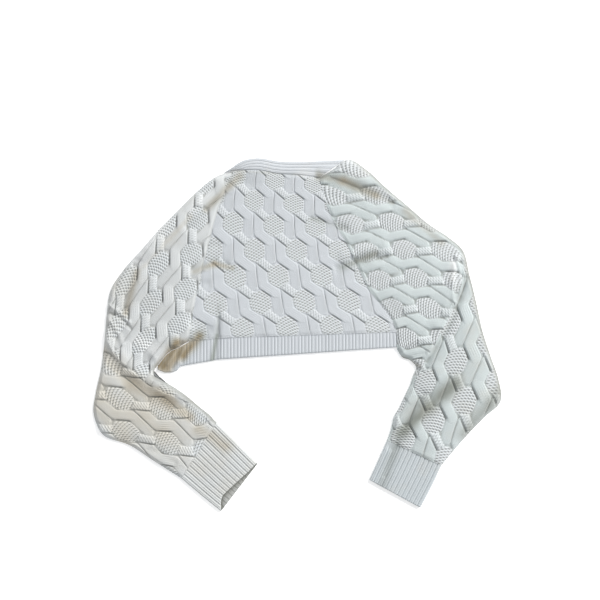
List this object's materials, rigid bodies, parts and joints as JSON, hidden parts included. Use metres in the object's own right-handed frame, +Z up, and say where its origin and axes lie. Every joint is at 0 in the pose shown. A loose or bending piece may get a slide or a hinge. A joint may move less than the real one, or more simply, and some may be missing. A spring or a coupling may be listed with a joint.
{
  "type": "knitted shrug",
  "caption": "Cropped raglan shrug in thick cream-white cotton, with traditional crossed strips and moss hexagons and ribbed edges, laid flat with its back up and its sleeves folded.",
  "frame": {"origin": "centre of the bounding box at its base, on the surface that the shrug lies on", "axes": "+X to the right of the laid shrug as seen from above, +Y towards its neck, +Z up"},
  "size_m": [0.7732, 0.6626, 0.0145],
  "materials": {
    "cable_knit": "cream-white cotton knit, matt, cabled and mossed",
    "rib_knit": "cream-white cotton knit, matt, ribbed"
  },
  "bodies": {
    "root": {"back_panel": "cable_knit", "sleeve_left": "cable_knit", "sleeve_right": "cable_knit", "front_left": "cable_knit", "front_right": "cable_knit", "cuff_left": "rib_knit", "cuff_right": "rib_knit", "hem_band": "rib_knit", "neck_band": "rib_knit"}
  },
  "joints": []
}
